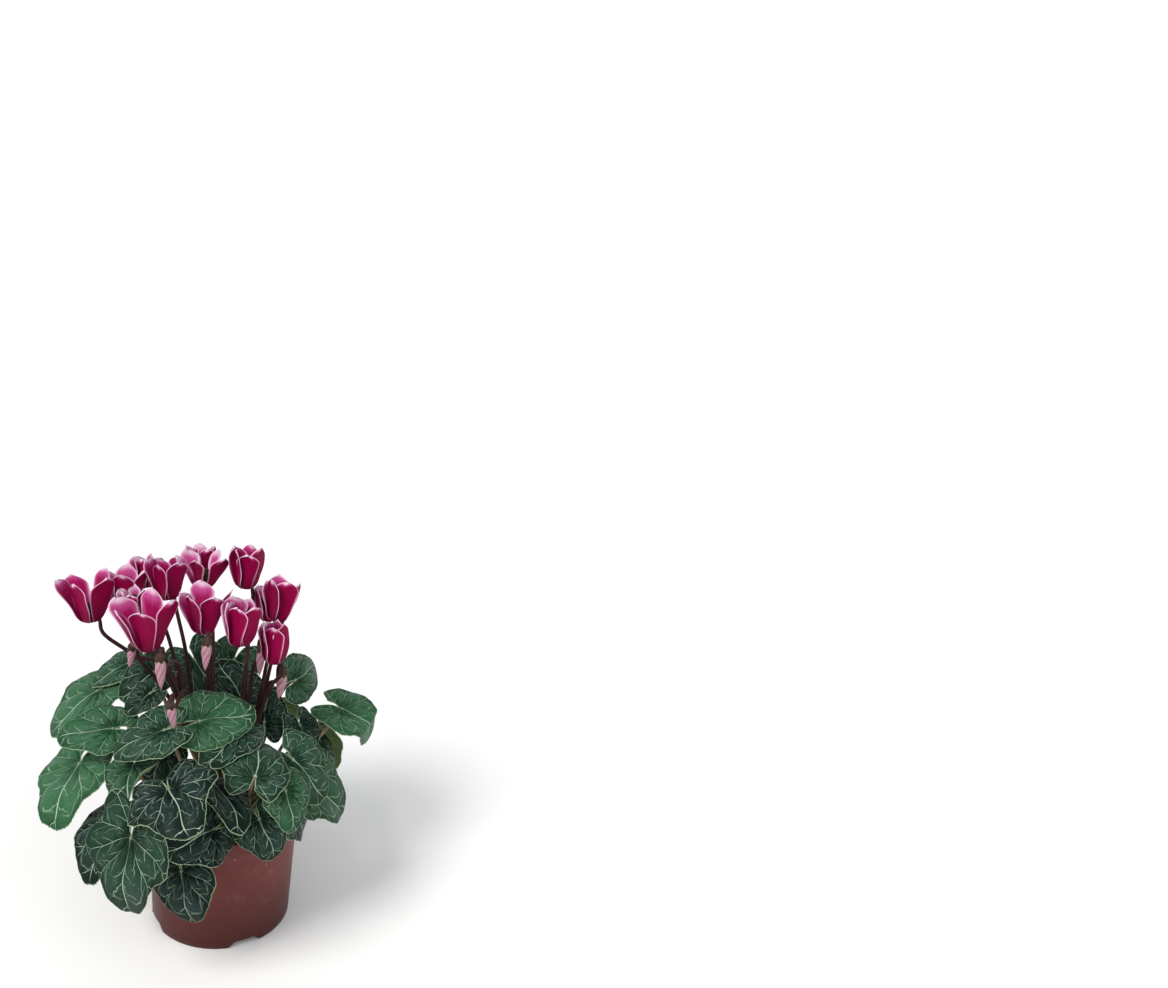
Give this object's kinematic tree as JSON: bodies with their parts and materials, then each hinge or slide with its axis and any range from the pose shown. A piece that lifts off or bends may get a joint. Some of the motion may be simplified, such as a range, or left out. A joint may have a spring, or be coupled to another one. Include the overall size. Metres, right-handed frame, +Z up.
{
  "type": "potted cyclamen",
  "caption": "Flowering cyclamen in a round plastic nursery pot: heart-shaped veined leaves, crimson reflexed flowers with pale margins, hanging buds.",
  "frame": {"origin": "middle of the pot's underside, on the flat central pad", "axes": "+Z up along the pot's axis; -Y towards the side with the lowest hanging leaves"},
  "size_m": [0.2247, 0.2152, 0.2684],
  "materials": {
    "pot": "satin terracotta-coloured plastic",
    "soil": null,
    "stem": null,
    "leaf": null,
    "petal": null,
    "bud": null
  },
  "bodies": {
    "root": {"pot": "pot", "soil": "soil", "crown": "stem", "leaf_01": "leaf", "leaf_02": "leaf", "leaf_03": "leaf", "leaf_04": "leaf", "leaf_05": "leaf", "leaf_06": "leaf", "leaf_07": "leaf", "leaf_08": "leaf", "leaf_09": "leaf", "leaf_10": "leaf", "leaf_11": "leaf", "leaf_12": "leaf", "leaf_13": "leaf", "leaf_14": "leaf", "leaf_15": "leaf", "leaf_16": "leaf", "leaf_17": "leaf", "leaf_18": "leaf", "leaf_19": "leaf", "leaf_20": "leaf", "leaf_21": "leaf", "leaf_22": "leaf", "leaf_23": "leaf", "leaf_24": "leaf", "leaf_25": "leaf", "leaf_26": "leaf", "leaf_27": "leaf", "leaf_28": "leaf", "leaf_29": "leaf", "leaf_30": "leaf", "leaf_31": "leaf", "leaf_32": "leaf", "leaf_33": "leaf", "leaf_34": "leaf", "leaf_35": "leaf", "leaf_36": "leaf", "leaf_37": "leaf", "flower_01": "petal", "flower_02": "petal", "flower_03": "petal", "flower_04": "petal", "flower_05": "petal", "flower_06": "petal", "flower_07": "petal", "flower_08": "petal", "flower_09": "petal", "flower_10": "petal", "flower_11": "petal", "flower_12": "petal", "flower_13": "petal", "flower_14": "petal", "bud_01": "bud", "bud_02": "bud", "bud_03": "bud", "bud_04": "bud", "bud_05": "bud", "bud_06": "bud"}
  },
  "joints": []
}
